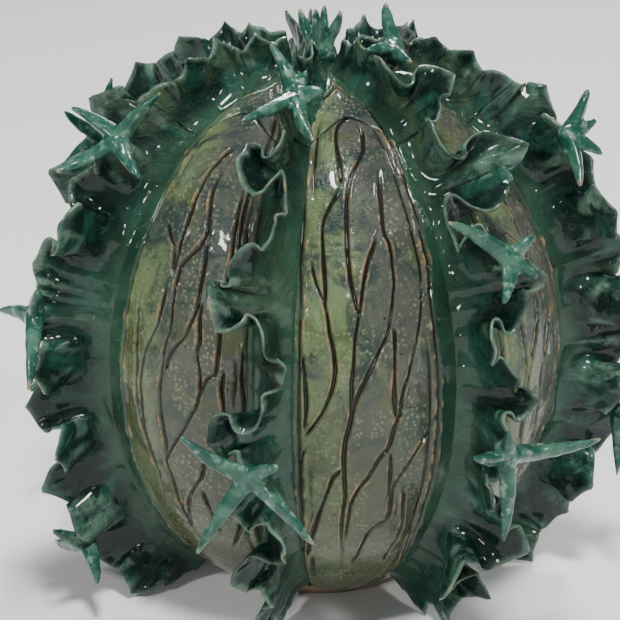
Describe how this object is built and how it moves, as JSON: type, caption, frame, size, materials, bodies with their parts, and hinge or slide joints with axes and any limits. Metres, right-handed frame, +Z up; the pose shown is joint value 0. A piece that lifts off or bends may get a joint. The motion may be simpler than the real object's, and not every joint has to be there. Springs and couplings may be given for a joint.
{
  "type": "soup tureen",
  "caption": "Lidded stoneware tureen shaped like a ribbed barrel cactus, with ruffled clay ribs, rolled spines and a lift-off crown.",
  "frame": {"origin": "centre of the flat underside of the foot", "axes": "+Z up along the pot's axis, -Y to the front, +X to the right as seen from the front"},
  "size_m": [0.3198, 0.3404, 0.2888],
  "materials": {
    "panel_glaze": "high gloss, grey-violet breaking to sage green, with fine yellow-green specks",
    "rib_glaze": "high gloss, deep teal green breaking to pale mint and tan on thin edges",
    "spine_glaze": "high gloss mint and teal with tan tips",
    "foot_glaze": "satin, thin brown-green glaze over bare stoneware"
  },
  "bodies": {
    "bowl": {"base_slab": "foot_glaze", "wall_panel_1": "panel_glaze", "wall_panel_2": "panel_glaze", "wall_panel_3": "panel_glaze", "wall_panel_4": "panel_glaze", "wall_panel_5": "panel_glaze", "wall_panel_6": "panel_glaze", "wall_panel_7": "panel_glaze", "bowl_ruffle_1": "rib_glaze", "bowl_ruffle_2": "rib_glaze", "bowl_ruffle_3": "rib_glaze", "bowl_ruffle_4": "rib_glaze", "bowl_ruffle_5": "rib_glaze", "bowl_ruffle_6": "rib_glaze", "bowl_ruffle_7": "rib_glaze", "star_1_upper": "spine_glaze", "star_1_middle": "spine_glaze", "star_1_lower": "spine_glaze", "star_2_lower": "spine_glaze", "star_3_upper": "spine_glaze", "star_3_lower": "spine_glaze", "star_4_upper": "spine_glaze", "star_4_lower": "spine_glaze", "star_5_middle": "spine_glaze", "star_5_lower": "spine_glaze", "star_6_upper": "spine_glaze", "star_6_middle": "spine_glaze", "star_6_lower": "spine_glaze", "star_7_upper": "spine_glaze", "star_7_lower": "spine_glaze"},
    "lid": {"lid_cap": "panel_glaze", "lid_locating_ring": "foot_glaze", "crown_bud": "spine_glaze", "lid_ruffle_1": "rib_glaze", "lid_ruffle_2": "rib_glaze", "lid_ruffle_3": "rib_glaze", "lid_ruffle_4": "rib_glaze", "lid_ruffle_5": "rib_glaze", "lid_ruffle_6": "rib_glaze", "lid_ruffle_7": "rib_glaze", "star_2_top": "spine_glaze", "star_3_top": "spine_glaze"}
  },
  "joints": [
    {"name": "lid_lift", "type": "slide", "parent": "bowl", "child": "lid", "axis": [0, 0, 1], "range_m": [0, 0.13]}
  ]
}
